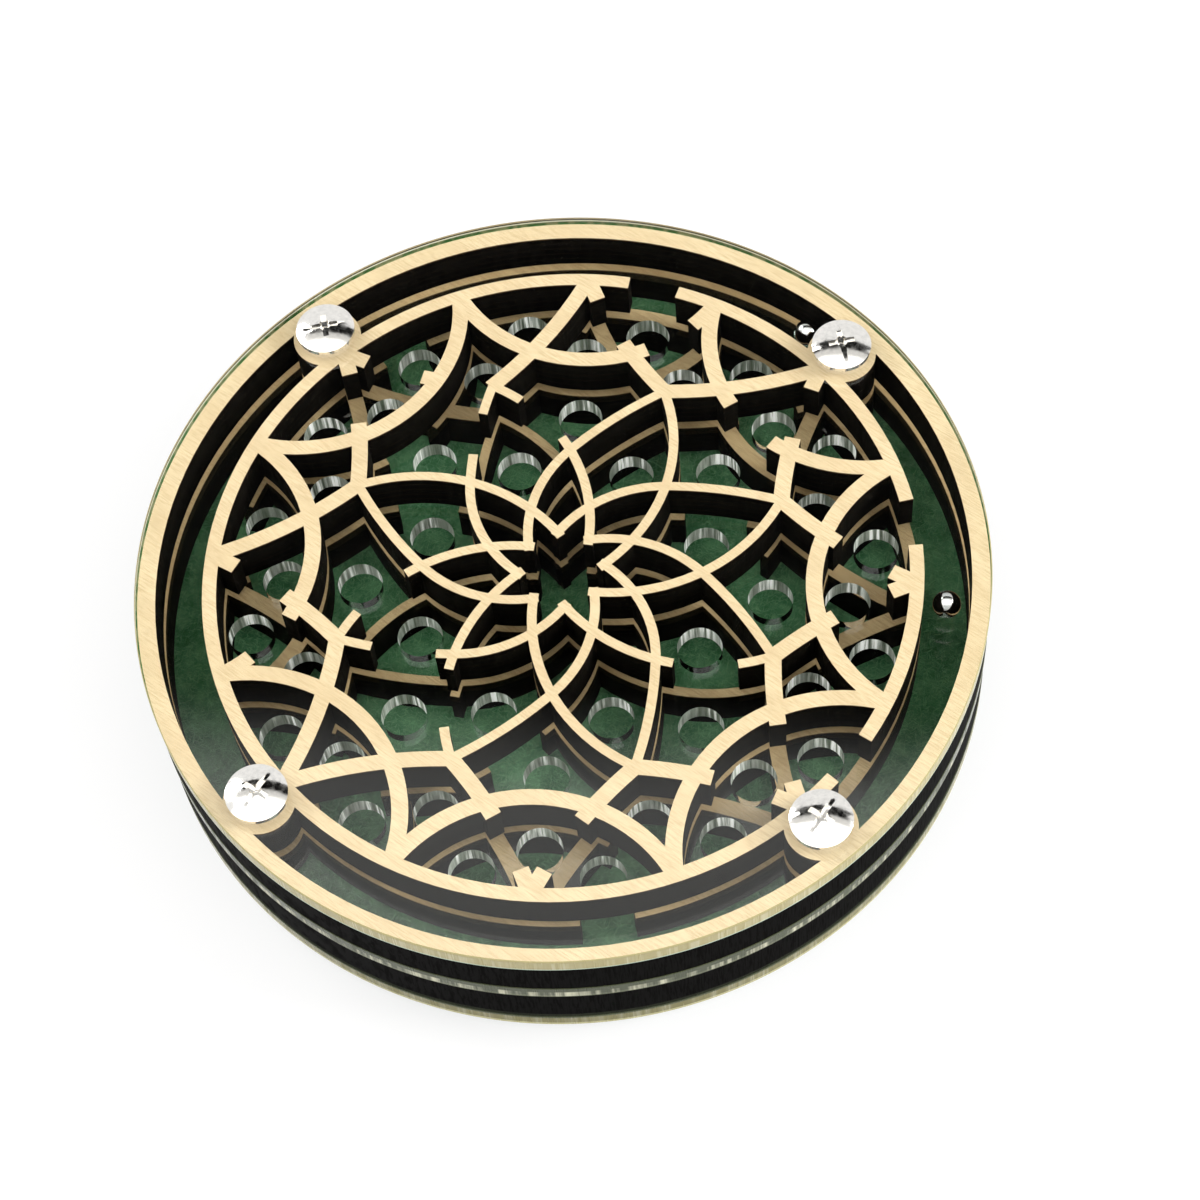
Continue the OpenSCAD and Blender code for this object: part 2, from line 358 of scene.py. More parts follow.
class Palette:
    """Makes the materials out of the finishes and the shared effects."""

    def __init__(self) -> None:
        self.grain = Effects.grain()
        self.plies = Effects.plies()
        self.streaks = Effects.streaks()
        self.fibres = Effects.fibres()
        self.haze = Effects.haze()

    @staticmethod
    def _begin(name: str) -> tuple[bpy.types.Material, Writer, bpy.types.Node, bpy.types.NodeSocket]:
        """Starts a material.

        Args:
            name: Name of the material.

        Returns:
            The material, its writer, its main shader and the place in the object.
        """
        material = bpy.data.materials.new(name)
        material.use_nodes = True
        material.node_tree.nodes.clear()
        writer = Writer(material.node_tree)
        shader = writer.add("ShaderNodeBsdfPrincipled")
        place = writer.add("ShaderNodeTexCoord").outputs["Object"]
        return material, writer, shader, place

    @staticmethod
    def _effect(writer: Writer, tree: bpy.types.NodeTree, values: dict[Any, Any]) -> list[bpy.types.NodeSocket]:
        """Puts a shared effect into a material and gives its outputs."""
        node = writer.add("ShaderNodeGroup", node_tree=tree)
        for key, value in values.items():
            writer.feed(node.inputs[key], value)
        return list(node.outputs)

    @staticmethod
    def _bump(
        writer: Writer, shader: bpy.types.Node, height: bpy.types.NodeSocket, depth: float, strength: float
    ) -> None:
        """Roughens a shader's normal by a height value, with the depth in millimetres."""
        node = writer.add("ShaderNodeBump", {"Height": height, "Distance": depth * MM, "Strength": strength})
        writer.feed(shader.inputs["Normal"], node.outputs[0])

    @staticmethod
    def _share(writer: Writer, place: bpy.types.NodeSocket, bottom: float, thick: float) -> bpy.types.NodeSocket:
        """Gives the share of a layer's height, from 0 at its lower face to 1 at its upper one.

        Args:
            writer: Writer of the material.
            place: Place in the object.
            bottom: Height of the lower face in millimetres.
            thick: Thickness of the layer in millimetres.

        Returns:
            The share.
        """
        height = writer.add("ShaderNodeSeparateXYZ", {0: place}).outputs[2]
        return writer.math("DIVIDE", writer.math("SUBTRACT", height, bottom * MM), thick * MM)

    @staticmethod
    def _level(writer: Writer) -> bpy.types.NodeSocket:
        """Gives 1 on faces that lie flat and 0 on upright walls."""
        normal = writer.add("ShaderNodeNewGeometry").outputs["True Normal"]
        up = writer.math("ABSOLUTE", writer.add("ShaderNodeSeparateXYZ", {0: normal}).outputs[2])
        return writer.math("GREATER_THAN", up, UPRIGHT)

    @staticmethod
    def _two_sided(
        writer: Writer, outside: bpy.types.NodeSocket, inside: bpy.types.NodeSocket
    ) -> bpy.types.NodeSocket:
        """Joins the shader seen from the air with the one seen from inside the sheet."""
        behind = writer.add("ShaderNodeNewGeometry").outputs["Backfacing"]
        return writer.add("ShaderNodeMixShader", {0: behind, 1: outside, 2: inside}).outputs[0]

    @staticmethod
    def _end(writer: Writer, shader: bpy.types.NodeSocket) -> None:
        """Links a shader to the material's surface."""
        writer.feed(writer.add("ShaderNodeOutputMaterial").inputs["Surface"], shader)

    def acrylic(self, name: str, finish: AcrylicFinish) -> bpy.types.Material:
        """Clear sheet that lets lamps and soft light through to what lies below.

        Args:
            name: Name of the material.
            finish: Finish of the surface.

        Returns:
            The material.
        """
        material, writer, shader, place = self._begin(name)
        self._clear(writer, shader, place, finish)
        self._let_light_in(writer, shader.outputs[0], finish.tint)
        return material

    def _clear(
        self, writer: Writer, shader: bpy.types.Node, place: bpy.types.NodeSocket, finish: AcrylicFinish
    ) -> None:
        """Sets a shader up as clear sheet."""
        haze = self._effect(writer, self.haze, {"Place": place, "Grain": 0.35})[0]
        dull = tuple(0.95 * part for part in finish.tint)
        writer.feed(shader.inputs["Base Color"], writer.mix(haze, finish.tint, dull))
        writer.feed(shader.inputs["Roughness"], writer.span(haze, 0.0, 1.0, finish.rough, finish.rough + finish.spread))
        writer.feed(shader.inputs["Transmission Weight"], 1.0)
        writer.feed(shader.inputs["IOR"], ACRYLIC_IOR)

    def _let_light_in(self, writer: Writer, surface: bpy.types.NodeSocket, tint: Colour) -> None:
        """Ends a clear material: rays from lamps and soft light go straight through it."""
        path = writer.add("ShaderNodeLightPath")
        through = writer.add("ShaderNodeBsdfTransparent", {"Color": (*[0.96 * part for part in tint], 1.0)})
        lit = writer.add("ShaderNodeMixShader", {0: path.outputs["Is Shadow Ray"], 1: surface, 2: through.outputs[0]})
        soft = writer.add(
            "ShaderNodeMixShader", {0: path.outputs["Is Diffuse Ray"], 1: lit.outputs[0], 2: through.outputs[0]}
        )
        self._end(writer, soft.outputs[0])

    def bore(self, name: str, finish: AcrylicFinish, painted_glow: Colour, shade: Colour) -> bpy.types.Material:
        """Wall of a drop hole: rough and streaked from the air, with painted light in its bright streaks and a painted
        glow, clear from inside the sheet.

        Args:
            name: Name of the material.
            finish: Finish of the sheet and depth of the streaks.
            painted_glow: Colour of the painted light in the bright streaks, which also glows.
            shade: Colour between them.

        Returns:
            The material.
        """
        material, writer, shader, place = self._begin(name)
        marks, bands = self._effect(writer, self.streaks, {"Place": place, "Pitch": finish.pitch})
        glint = writer.math("MULTIPLY", marks, writer.span(bands, 0.0, 1.0, 0.45, 1.0))
        # Painted light: the bright streaks in the colour stand for light that the sheet guides to its bores.
        writer.feed(shader.inputs["Base Color"], writer.mix(glint, shade, painted_glow))
        writer.feed(shader.inputs["Roughness"], writer.span(marks, 0.0, 1.0, 0.42, 0.16))
        # Painted glow: the bore walls give out light of their own, though they are no lamp.
        writer.feed(shader.inputs["Emission Color"], writer.mix(glint, shade, painted_glow))
        writer.feed(shader.inputs["Emission Strength"], writer.span(glint, 0.0, 1.0, 0.04, finish.painted_glow_strength))
        self._bump(writer, shader, marks, finish.streak, 0.8)
        inside = writer.add("ShaderNodeBsdfPrincipled")
        self._clear(writer, inside, place, finish)
        sides = self._two_sided(writer, shader.outputs[0], inside.outputs[0])
        self._let_light_in(writer, sides, finish.tint)
        return material

    def edge(self, name: str, finish: PaintedEdgeReflections) -> bpy.types.Material:
        """Outer edge of a clear sheet, in three tones of painted reflection with painted glints along the cutter's
        marks.

        Args:
            name: Name of the material.
            finish: Finish of the edge.

        Returns:
            The material.
        """
        material, writer, shader, place = self._begin(name)
        share = self._share(writer, place, finish.bottom, finish.thick)
        low, high = finish.levels
        # Painted reflections: the foot, body and crown tones stand for the felt, wood and surroundings seen in the
        # clear edge, not for a colour of the sheet.
        tone = writer.mix(writer.span(share, low - 0.04, low + 0.04), finish.foot, finish.body)
        tone = writer.mix(writer.span(share, high - 0.10, high + 0.10), tone, finish.crown)
        marks, bands = self._effect(writer, self.streaks, {"Place": place, "Pitch": 1.1})
        # Painted glints: bright dashes along the cutter's marks, in the band between the foot and the crown.
        inner = writer.math("MULTIPLY", writer.span(share, 0.06, 0.14), writer.span(share, high + 0.06, high - 0.06))
        spark = writer.math("MULTIPLY", writer.math("MULTIPLY", marks, bands), inner)
        tone = writer.mix(writer.math("MULTIPLY", spark, finish.dash, clamp=True), tone, finish.spark)
        writer.feed(shader.inputs["Base Color"], tone)
        writer.feed(shader.inputs["Roughness"], writer.span(marks, 0.0, 1.0, 0.14, 0.34))
        writer.feed(shader.inputs["Specular IOR Level"], 0.12)
        self._bump(writer, shader, marks, 0.05, 0.6)
        # Painted view: from inside the sheet, bands of colour stand for what shows through the far edge.
        foot, line, gap, crown = finish.inner
        far = writer.mix(writer.math("MULTIPLY", bands, 0.3), foot, crown)
        far = writer.mix(writer.span(share, 0.34, 0.40), far, line)
        far = writer.mix(writer.span(share, 0.50, 0.56), far, gap)
        far = writer.mix(writer.span(share, 0.66, 0.74), far, crown)
        inside = writer.add("ShaderNodeBsdfPrincipled", {"Roughness": 0.3, "Specular IOR Level": 0.1})
        writer.feed(inside.inputs["Base Color"], far)
        sides = self._two_sided(writer, shader.outputs[0], inside.outputs[0])
        self._let_light_in(writer, sides, (0.9, 0.94, 0.9))
        return material

    def plywood(self, name: str, finish: PlyFinish) -> bpy.types.Material:
        """Laser-cut plywood: pale veneer above and below, scorched walls between.

        Args:
            name: Name of the material.
            finish: Finish of the board.

        Returns:
            The material.
        """
        material, writer, shader, place = self._begin(name)
        lines, tone = self._effect(writer, self.grain, {"Place": place, "Turn": math.radians(finish.turn)})
        middle = tuple((a + b) / 2 for a, b in zip(finish.pale, finish.dark))
        veneer = writer.mix(lines, writer.mix(tone, finish.pale, middle), finish.dark)
        share = self._share(writer, place, finish.bottom, finish.thick)
        seams, soot = self._effect(writer, self.plies, {"Place": place, "Height": share})
        black = tuple(0.35 * part for part in finish.burnt)
        wall = writer.mix(writer.math("MULTIPLY", seams, 0.35), writer.mix(soot, black, finish.burnt), finish.glue)
        wall = writer.mix(writer.span(share, 0.945, 0.985), wall, tuple(5.0 * part for part in finish.glue))
        # Walls beyond the rim take a quarter of the burnt colour.
        across = writer.add("ShaderNodeVectorMath", {0: place, 1: (1.0, 1.0, 0.0)}, operation="MULTIPLY").outputs[0]
        away = writer.add("ShaderNodeVectorMath", {0: across}, operation="LENGTH").outputs["Value"]
        outside = writer.math("GREATER_THAN", away, finish.rim * MM)
        wall = writer.mix(outside, wall, tuple(0.25 * part for part in finish.burnt))
        flat = self._level(writer)
        writer.feed(shader.inputs["Base Color"], writer.mix(flat, wall, veneer))
        writer.feed(shader.inputs["Roughness"], writer.span(lines, 0.0, 1.0, 0.62, 0.80))
        writer.feed(shader.inputs["Specular IOR Level"], writer.span(flat, 0.0, 1.0, 0.02, 0.25))
        self._bump(writer, shader, writer.math("MULTIPLY", lines, flat), 0.02, 0.35)
        self._end(writer, shader.outputs[0])
        return material

    def felt(self, name: str, finish: FeltFinish) -> bpy.types.Material:
        """Matted felt.

        Args:
            name: Name of the material.
            finish: Finish of the felt.

        Returns:
            The material.
        """
        material, writer, shader, place = self._begin(name)
        fibre, mottle = self._effect(writer, self.fibres, {"Place": place})
        middle = tuple(0.55 * a + 0.45 * b for a, b in zip(finish.deep, finish.light))
        ground = writer.mix(mottle, finish.deep, middle)
        cloth = writer.mix(writer.math("MULTIPLY", fibre, 0.7), ground, finish.light)
        flat = self._level(writer)
        # The cut edge's dark colour is partly scorching and partly painted shade.
        edge = writer.mix(mottle, finish.cut, tuple(2.0 * part for part in finish.cut))
        writer.feed(shader.inputs["Base Color"], writer.mix(flat, edge, cloth))
        writer.feed(shader.inputs["Roughness"], writer.span(mottle, 0.0, 1.0, 0.88, 0.98))
        writer.feed(shader.inputs["Specular IOR Level"], 0.1)
        self._bump(writer, shader, writer.math("ADD", fibre, mottle), 0.12, 0.7)
        self._end(writer, shader.outputs[0])
        return material

    def metal(self, name: str, finish: MetalFinish) -> bpy.types.Material:
        """Bright plated or polished metal.

        Args:
            name: Name of the material.
            finish: Finish of the metal.

        Returns:
            The material.
        """
        material, writer, shader, place = self._begin(name)
        haze = self._effect(writer, self.haze, {"Place": place, "Grain": finish.grain})[0]
        dull = tuple(0.88 * part for part in finish.tint)
        writer.feed(shader.inputs["Base Color"], writer.mix(haze, finish.tint, dull))
        writer.feed(shader.inputs["Metallic"], 1.0)
        writer.feed(shader.inputs["Roughness"], writer.span(haze, 0.0, 1.0, finish.rough, finish.rough + finish.spread))
        self._bump(writer, shader, haze, 0.01, 0.25)
        self._end(writer, shader.outputs[0])
        return material


class Piece:
    """One finished mesh that stands in for a node of the frame.

    Args:
        node: Node of the frame that it stands in for.
        body: Body that it rides on.
        slot: Material slot of the record; not used.
    """

    def __init__(self, node: str, body: Body, slot: str) -> None:
        self.node = node
        self.body = body
        self.slot = slot

    def place(
        self,
        points: np.ndarray,
        faces: list[tuple[int, ...]],
        materials: list[bpy.types.Material],
        places: np.ndarray | None = None,
        sharp: float = 30.0,
    ) -> bpy.types.Object:
        """Makes the mesh and binds it to the frame.

        Args:
            points: Corner positions in metres.
            faces: Corner numbers of each face, outward.
            materials: Materials in slot order.
            places: Material slot of each face.
            sharp: Angle in degrees above which an edge stays sharp.

        Returns:
            The new object.
        """
        mesh = bpy.data.meshes.new(f"{self.node}_looks")
        mesh.from_pydata(points.tolist(), [], faces)
        mesh.polygons.foreach_set("use_smooth", np.ones(len(faces), bool))
        for material in materials:
            mesh.materials.append(material)
        if places is not None:
            mesh.polygons.foreach_set("material_index", places.astype(np.int32))
        mesh.update()
        mesh.set_sharp_from_angle(angle=math.radians(sharp))
        made = bpy.data.objects.new(f"{self.node}_looks", mesh)
        bpy.context.scene.collection.objects.link(made)
        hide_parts(self.node)
        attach(made, self.body.value)
        return made


@dataclass
class ClearSheet:
    """A round clear sheet with its bolt holes and drop holes.

    Args:
        node: Node of the frame.
        slot: Material slot of the record.
        bottom: Height of its lower face in millimetres.
        thick: Thickness in millimetres.
        radius: Radius in millimetres.
        bevel: Width of the broken outer edge in millimetres.
        air: Room left above and below the sheet in millimetres.
        holes: Middle and radius of each hole in millimetres.
        rim_steps: Sides of the outer outline.
        hole_steps: Sides of each hole's outline.
    """

    node: str
    slot: str
    bottom: float
    thick: float
    radius: float = 59.97
    bevel: float = 0.14
    air: float = 0.015
    holes: tuple[tuple[float, float, float], ...] = ()
    rim_steps: int = 360
    hole_steps: int = 48

    def _rings(self) -> tuple[list[np.ndarray], list[np.ndarray]]:
        """Outlines of the flat faces.

        Returns:
            The outer outline and the outline of each hole, as points in the plane.
        """
        turn = np.linspace(0.0, 2.0 * math.pi, self.rim_steps, endpoint=False)
        outer = (self.radius - self.bevel) * np.stack([np.cos(turn), np.sin(turn)], 1)
        turn = np.linspace(0.0, 2.0 * math.pi, self.hole_steps, endpoint=False)
        circle = np.stack([np.cos(turn), np.sin(turn)], 1)
        return [outer], [np.array([x, y]) + r * circle for x, y, r in self.holes]

    def build(self, materials: list[bpy.types.Material]) -> bpy.types.Object:
        """Makes the sheet.

        Args:
            materials: Materials for the polished faces, the outer edge and the bores.

        Returns:
            The new object.
        """
        outer, inner = self._rings()
        loops = outer + inner
        flat = np.concatenate(loops)
        edges, first = [], 0
        for loop in loops:
            count = len(loop)
            edges += [(first + i, first + (i + 1) % count) for i in range(count)]
            first += count
        _, _, cells, _, _, _ = delaunay_2d_cdt([Vector(p) for p in flat], edges, [], 0, 1e-7)
        corners = np.array([tuple(c) for c in cells])
        middles = flat[corners].mean(1)
        keep = np.ones(len(corners), bool)
        for x, y, r in self.holes:
            keep &= np.hypot(middles[:, 0] - x, middles[:, 1] - y) > r * 0.999
        corners = corners[keep]
        total = len(flat)
        top = np.column_stack([flat, np.full(total, self.bottom + self.thick - self.air)])
        low = np.column_stack([flat, np.full(total, self.bottom + self.air)])
        rim = self.radius / (self.radius - self.bevel) * outer[0]
        count = len(rim)
        rim_top = np.column_stack([rim, np.full(count, self.bottom + self.thick - self.bevel)])
        rim_low = np.column_stack([rim, np.full(count, self.bottom + self.bevel)])
        points = np.concatenate([top, low, rim_top, rim_low]) * MM
        faces = [tuple(c) for c in corners.tolist()]
        faces += [tuple(c[::-1]) for c in (corners + total).tolist()]
        places = [Face.POLISHED.value] * len(faces)
        steps = [(0, 2 * total), (2 * total, 2 * total + count), (2 * total + count, total)]
        for above, below in steps:
            for i in range(count):
                j = (i + 1) % count
                faces.append((above + i, below + i, below + j, above + j))
        places += [Face.EDGE.value] * (3 * count)
        first = count
        for loop in inner:
            size = len(loop)
            for i in range(size):
                a, b = first + i, first + (i + 1) % size
                faces.append((a, b, b + total, a + total))
            places += [Face.BORE.value] * size
            first += size
        piece = Piece(self.node, Body.CASE, self.slot)
        return piece.place(points, faces, materials, np.array(places))


@dataclass
class Ball:
    """A polished steel ball.

    Args:
        node: Node of the frame.
        body: Body that it rides on.
        columns: Faces around.
        rows: Faces from pole to pole.
    """

    node: str
    body: Body
    columns: int = 96
    rows: int = 48

    def build(self, material: bpy.types.Material) -> bpy.types.Object:
        """Makes the ball inside the box of its node.

        Args:
            material: Finish of the ball.

        Returns:
            The new object.
        """
        low, high = (np.array(c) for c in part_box(self.node))
        middle, radius = (low + high) / 2, (high - low).min() / 2
        down = np.linspace(0.0, math.pi, self.rows + 1)[1:-1]
        around = np.linspace(0.0, 2.0 * math.pi, self.columns, endpoint=False)
        d, a = np.meshgrid(down, around, indexing="ij")
        shell = np.stack([np.sin(d) * np.cos(a), np.sin(d) * np.sin(a), np.cos(d)], -1).reshape(-1, 3)
        points = np.concatenate([shell, [[0, 0, 1]], [[0, 0, -1]]]) * radius + middle
        top, last, n = len(shell), len(shell) + 1, self.columns
        faces: list[tuple[int, ...]] = []
        for i in range(self.rows - 2):
            for k in range(n):
                m = (k + 1) % n
                faces.append((i * n + k, (i + 1) * n + k, (i + 1) * n + m, i * n + m))
        for k in range(n):
            m = (k + 1) % n
            faces.append((top, k, m))
            faces.append((last, (self.rows - 2) * n + m, (self.rows - 2) * n + k))
        return Piece(self.node, self.body, "steel_ball").place(points, faces, [material])


@dataclass
class Fastener:
    """A screw or barrel nut, smoothed from the frame's own triangles.

    Args:
        node: Node of the frame.
        slot: Material slot of the record.
        sharp: Angle in degrees above which an edge stays sharp.
    """

    node: str
    slot: str
    sharp: float = 32.0

    def build(self, material: bpy.types.Material) -> bpy.types.Object:
        """Merges the node's loose triangles into a smooth copy.

        Args:
            material: Finish of the fastener.

        Returns:
            The new object.
        """
        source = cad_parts[self.node]
        mesh = source.data
        mesh.calc_loop_triangles()
        loose = np.empty(len(mesh.vertices) * 3)
        mesh.vertices.foreach_get("co", loose)
        corners = np.empty(len(mesh.loop_triangles) * 3, np.int32)
        mesh.loop_triangles.foreach_get("vertices", corners)
        world = np.array(source.matrix_world)
        loose = loose.reshape(-1, 3) @ world[:3, :3].T + world[:3, 3]
        keys, back = np.unique(np.round(loose, 7), axis=0, return_inverse=True)
        triangles = back.reshape(-1)[corners].reshape(-1, 3)
        whole = (
            (triangles[:, 0] != triangles[:, 1])
            & (triangles[:, 1] != triangles[:, 2])
            & (triangles[:, 0] != triangles[:, 2])
        )
        faces = [tuple(t) for t in triangles[whole].tolist()]
        return Piece(self.node, Body.CASE, self.slot).place(keys, faces, [material], sharp=self.sharp)


@dataclass
class Board:
    """A piece of the frame that keeps its shape and gets a material.

    Args:
        node: Node of the frame.
    """

    node: str

    def finish(self, material: bpy.types.Material) -> None:
        """Puts the material on the node's own slots.

        Args:
            material: Finish of the piece.
        """
        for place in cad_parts[self.node].material_slots:
            place.material = material


@dataclass
class BallMaze:
    """The whole puzzle: three clear sheets, two mazes, felt, four binding screws and two balls.

    Args:
        bolt_r: Radius of the bolt circle in millimetres.
        bolt_d: Diameter of the bolt holes in millimetres.
        rim_r: Radius of the rosette in millimetres.
        drop_d: Diameter of the drop holes in millimetres.
        sector: Angle of one part of the rosette in degrees.
        sheet_t: Thickness of each clear sheet in millimetres.
        ply_t: Thickness of each plywood board in millimetres.
        base_z: Height of the base sheet's lower face in millimetres.
        lower_z: Height of the lower maze's lower face in millimetres.
        middle_z: Height of the middle sheet's lower face in millimetres.
        upper_z: Height of the upper maze's lower face in millimetres.
        cover_z: Height of the cover's lower face in millimetres.
        grain_turn: Direction of the wood grain in degrees.
        drops: Share of the rosette's radius and angle of the drop holes of one sector.
    """

    bolt_r: float = 53.538
    bolt_d: float = 5.2
    rim_r: float = 49.7
    drop_d: float = 6.4
    sector: float = 45.0
    sheet_t: float = 2.8
    ply_t: float = 6.4
    base_z: float = 1.6
    lower_z: float = 5.2
    middle_z: float = 11.6
    upper_z: float = 14.4
    cover_z: float = 20.8
    grain_turn: float = 33.0
    drops: tuple[tuple[float, float], ...] = (
        (0.431, 22.5),
        (0.590, 0.0),
        (0.769, 22.5),
        (0.809, 0.0),
        (0.902, 11.5),
        (0.902, -11.5),
    )

    def _holes(self, drilled: bool) -> tuple[tuple[float, float, float], ...]:
        """Holes of a sheet.

        Args:
            drilled: True for the sheet that balls drop through.

        Returns:
            Middle and radius of each hole in millimetres.
        """
        spots = [(self.bolt_r, 45.0 + 90.0 * k, self.bolt_d / 2) for k in range(4)]
        if drilled:
            spots += [(s * self.rim_r, a + self.sector * k, self.drop_d / 2) for k in range(8) for s, a in self.drops]
        return tuple((r * math.cos(math.radians(a)), r * math.sin(math.radians(a)), size) for r, a, size in spots)

    def build(self, palette: Palette) -> None:
        """Makes every piece.

        Args:
            palette: Source of the materials.
        """
        # The last value, 0.62, is the strength of the painted glow of the bores.
        sheet = AcrylicFinish((0.975, 0.99, 0.978), 0.010, 0.02, 0.05, 2.2, 0.62)
        clear = palette.acrylic("acrylic_polished", sheet)
        # The bores get painted light: (1.0, 1.0, 0.96) in their bright streaks, also as a painted glow, and (0.26,
        # 0.30, 0.23) between them.
        bore = palette.bore("acrylic_bore", sheet, (1.0, 1.0, 0.96), (0.26, 0.30, 0.23))
        # The edge colours below are painted: spark and cream are painted glints, the tones are painted reflections, and
        # inner is the painted view through the far edge.
        spark, cream = (0.95, 0.95, 0.82), (0.72, 0.70, 0.52)
        aqua, khaki = (0.50, 0.62, 0.50), (0.40, 0.35, 0.17)
        moss, rush, olive = (0.06, 0.07, 0.035), (0.10, 0.11, 0.06), (0.20, 0.18, 0.06)
        inner = ((0.035, 0.11, 0.03), (0.80, 0.84, 0.72), (0.012, 0.014, 0.010), (0.50, 0.42, 0.26))
        over = PaintedEdgeReflections(aqua, khaki, khaki, spark, inner, (0.12, 0.80), 0.2, self.cover_z, self.sheet_t)
        amid = PaintedEdgeReflections(rush, moss, moss, cream, inner, (0.25, 0.58), 0.85, self.middle_z, self.sheet_t)
        straw = (0.52, 0.48, 0.24)
        under = PaintedEdgeReflections(straw, olive, moss, spark, inner, (0.25, 0.85), 0.2, self.base_z, self.sheet_t)
        for part, edge, drilled in (("cover", over, False), ("middle", amid, True), ("base", under, False)):
            sides = [clear, palette.edge(f"{part}_edge", edge), bore]
            holes = self._holes(drilled)
            ClearSheet(f"{part}_plate", f"{part}_acrylic", edge.bottom, edge.thick, holes=holes).build(sides)
        burnt, glue = (0.006, 0.005, 0.004), (0.032, 0.018, 0.009)
        birch, vein = (0.86, 0.67, 0.43), (0.70, 0.51, 0.30)
        upper = PlyFinish(birch, vein, burnt, glue, self.grain_turn, self.upper_z, self.ply_t)
        # Painted shade: the lower board is the same plywood as the upper one, given darker colours because less light
        # reaches it.
        birch, vein = (0.74, 0.52, 0.29), (0.55, 0.36, 0.185)
        lower = PlyFinish(birch, vein, burnt, glue, self.grain_turn, self.lower_z, self.ply_t)
        Board("upper_maze").finish(palette.plywood("plywood_upper", upper))
        Board("lower_maze").finish(palette.plywood("plywood_lower_painted_shade", lower))
        cloth = FeltFinish((0.050, 0.165, 0.072), (0.24, 0.50, 0.26), (0.012, 0.014, 0.008))
        Board("felt_lining").finish(palette.felt("green_felt", cloth))
        nickel = palette.metal("nickel_bright", MetalFinish((0.86, 0.84, 0.80), 0.07, 0.10, 1.2))
        plain = palette.metal("nickel_plain", MetalFinish((0.80, 0.78, 0.74), 0.14, 0.12, 0.9))
        steel = palette.metal("steel_polished", MetalFinish((0.80, 0.80, 0.79), 0.03, 0.05, 0.8))
        for k in range(1, 5):
            Fastener(f"screw_{k}", "nickel_screw").build(nickel)
            Fastener(f"nut_{k}", "nickel_nut").build(plain)
        Ball("ball_1", Body.BALL_A).build(steel)
        Ball("ball_2", Body.BALL_B).build(steel)


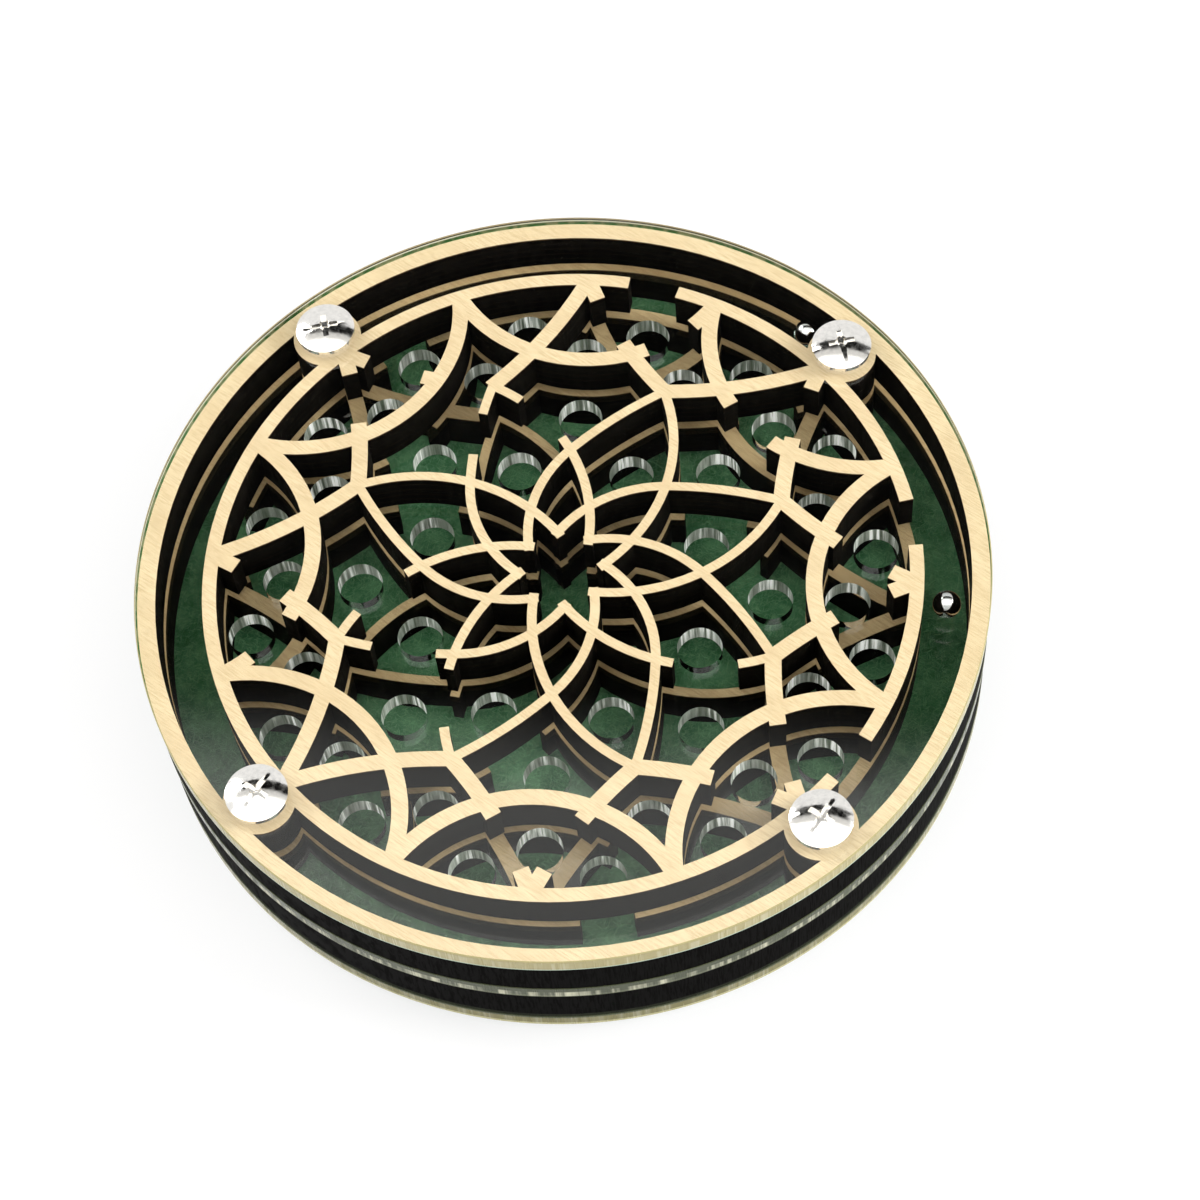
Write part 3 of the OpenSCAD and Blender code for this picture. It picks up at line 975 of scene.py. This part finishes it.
@dataclass
class Studio:
    """Camera, white floor and soft light.

    Args:
        azimuth: Angle that the camera stands round to the right, in degrees.
        elevation: Angle that the camera looks down, in degrees.
        roll: Tilt of the picture in degrees.
        distance: Distance from the aim in millimetres.
        aim: Point that the camera looks at, in millimetres.
        focal: Focal length in picture widths.
        floor_half: Half the side of the floor in metres.
    """

    azimuth: float = 9.98
    elevation: float = 60.30
    roll: float = -6.46
    distance: float = 413.5
    aim: tuple[float, float, float] = (4.90, 0.563, 12.36)
    focal: float = 2890.5 / 1200.0
    floor_half: float = 4.0

    def camera(self) -> None:
        """Sets the camera where the photograph was taken from."""
        side, tilt, roll = (math.radians(v) for v in (self.azimuth, self.elevation, self.roll))
        ahead = Vector((-math.sin(side) * math.cos(tilt), math.cos(side) * math.cos(tilt), -math.sin(tilt)))
        right = ahead.cross(Vector((0.0, 0.0, 1.0))).normalized()
        above = right.cross(ahead)
        right, above = (
            math.cos(roll) * right + math.sin(roll) * above,
            math.cos(roll) * above - math.sin(roll) * right,
        )
        eye = (Vector(self.aim) - self.distance * ahead) * MM
        data = bpy.data.cameras.new("camera")
        data.sensor_width = 36.0
        data.lens = 36.0 * self.focal
        data.clip_start = 0.01
        data.clip_end = 100.0
        made = bpy.data.objects.new("camera", data)
        made.matrix_world = Matrix(
            (
                (right.x, above.x, -ahead.x, eye.x),
                (right.y, above.y, -ahead.y, eye.y),
                (right.z, above.z, -ahead.z, eye.z),
                (0.0, 0.0, 0.0, 1.0),
            )
        )
        bpy.context.scene.collection.objects.link(made)
        bpy.context.scene.camera = made

    @staticmethod
    def _card(name: str, corners: list[tuple[float, float, float]]) -> bpy.types.Object:
        """Makes a flat four-cornered stage card, with corners in metres."""
        mesh = bpy.data.meshes.new(name)
        mesh.from_pydata(corners, [], [(0, 1, 2, 3)])
        made = bpy.data.objects.new(name, mesh)
        bpy.context.scene.collection.objects.link(made)
        return made

    @staticmethod
    def _paint(card: bpy.types.Object, name: str) -> Writer:
        """Gives a card an empty material and returns the writer of its nodes."""
        material = bpy.data.materials.new(name)
        material.use_nodes = True
        material.node_tree.nodes.clear()
        card.data.materials.append(material)
        return Writer(material.node_tree)

    @staticmethod
    def _seen(writer: Writer) -> bpy.types.NodeSocket:
        """Gives 1 for rays that show a surface and 0 for rays that light one."""
        path = writer.add("ShaderNodeLightPath").outputs
        mirrored = writer.math("MAXIMUM", path["Is Glossy Ray"], path["Is Transmission Ray"])
        return writer.math("MAXIMUM", path["Is Camera Ray"], mirrored)

    def floor(self) -> None:
        """Lays the white floor, which keeps the shadow."""
        far = self.floor_half
        card = self._card("floor", [(-far, -far, 0.0), (far, -far, 0.0), (far, far, 0.0), (-far, far, 0.0)])
        writer = self._paint(card, "floor_white")
        paper = writer.add("ShaderNodeBsdfDiffuse", {"Color": (0.88, 0.88, 0.88, 1.0)})
        white = writer.add("ShaderNodeEmission", {"Color": (1.0, 1.0, 1.0, 1.0), "Strength": 1.0})
        seen = self._seen(writer)
        mixed = writer.add(
            "ShaderNodeMixShader",
            {0: writer.math("MULTIPLY", seen, 0.72), 1: paper.outputs[0], 2: white.outputs[0]},
        )
        writer.feed(writer.add("ShaderNodeOutputMaterial").inputs["Surface"], mixed.outputs[0])

    def softbox(self) -> None:
        """Hangs the wide overhead card whose far edge fades out across the cover."""
        half, near, far, high = 0.55, -0.45, 0.34, 0.62
        card = self._card("softbox", [(-half, near, high), (-half, far, high), (half, far, high), (half, near, high)])
        writer = self._paint(card, "softbox_white")
        place = writer.add("ShaderNodeTexCoord").outputs["Object"]
        along = writer.add("ShaderNodeSeparateXYZ", {0: place}).outputs[1]
        first = writer.span(along, 0.292, 0.240, 0.0, 0.8)
        second = writer.span(along, 0.17, 0.08, 0.0, 1.4)
        strength = writer.math("ADD", first, second)
        light = writer.add("ShaderNodeEmission", {"Color": (1.0, 0.99, 0.97, 1.0), "Strength": strength})
        writer.feed(writer.add("ShaderNodeOutputMaterial").inputs["Surface"], light.outputs[0])
        card.visible_camera = False

    def flag(self) -> None:
        """Stands a black card behind the object, so the far half of the cover stays clear."""
        card = self._card("flag", [(-0.60, 0.46, 0.56), (0.60, 0.46, 0.56), (0.60, 0.42, 0.95), (-0.60, 0.42, 0.95)])
        writer = self._paint(card, "flag_black")
        cloth = writer.add("ShaderNodeBsdfDiffuse", {"Color": (0.01, 0.01, 0.01, 1.0)})
        writer.feed(writer.add("ShaderNodeOutputMaterial").inputs["Surface"], cloth.outputs[0])
        card.visible_camera = False

    @staticmethod
    def lamp(name: str, place: tuple[float, float, float], size: float, watts: float) -> None:
        """Hangs one soft lamp that points at the object.

        Args:
            name: Name of the lamp.
            place: Position in metres.
            size: Side of the lamp in metres.
            watts: Its power.
        """
        data = bpy.data.lights.new(name, "AREA")
        data.size = size
        data.energy = watts
        made = bpy.data.objects.new(name, data)
        made.location = place
        made.rotation_euler = (Vector((0.0, 0.0, 0.012)) - Vector(place)).to_track_quat("-Z", "Y").to_euler()
        bpy.context.scene.collection.objects.link(made)

    def world(self) -> None:
        """Surrounds the scene with white that fills softly."""
        world = bpy.data.worlds.new("studio")
        world.use_nodes = True
        world.node_tree.nodes.clear()
        writer = Writer(world.node_tree)
        seen = self._seen(writer)
        strength = writer.span(seen, 0.0, 1.0, 0.55, 1.0)
        sky = writer.add("ShaderNodeBackground", {"Color": (1.0, 1.0, 1.0, 1.0), "Strength": strength})
        writer.feed(writer.add("ShaderNodeOutputWorld").inputs["Surface"], sky.outputs[0])
        bpy.context.scene.world = world

    def build(self) -> None:
        """Sets up the whole stage."""
        self.camera()
        self.floor()
        self.softbox()
        self.flag()
        self.lamp("key", (-0.62, 0.36, 0.62), 0.40, 4.6)
        self.lamp("fill", (0.80, 0.05, 0.55), 0.40, 6.8)
        self.world()
        bpy.context.scene.view_settings.view_transform = "Standard"


def main() -> None:
    """Builds the puzzle and its stage."""
    logging.basicConfig(level=logging.INFO, format="%(name)s: %(message)s")
    BallMaze().build(Palette())
    Studio().build()


if __name__ == "__main__":
    main()
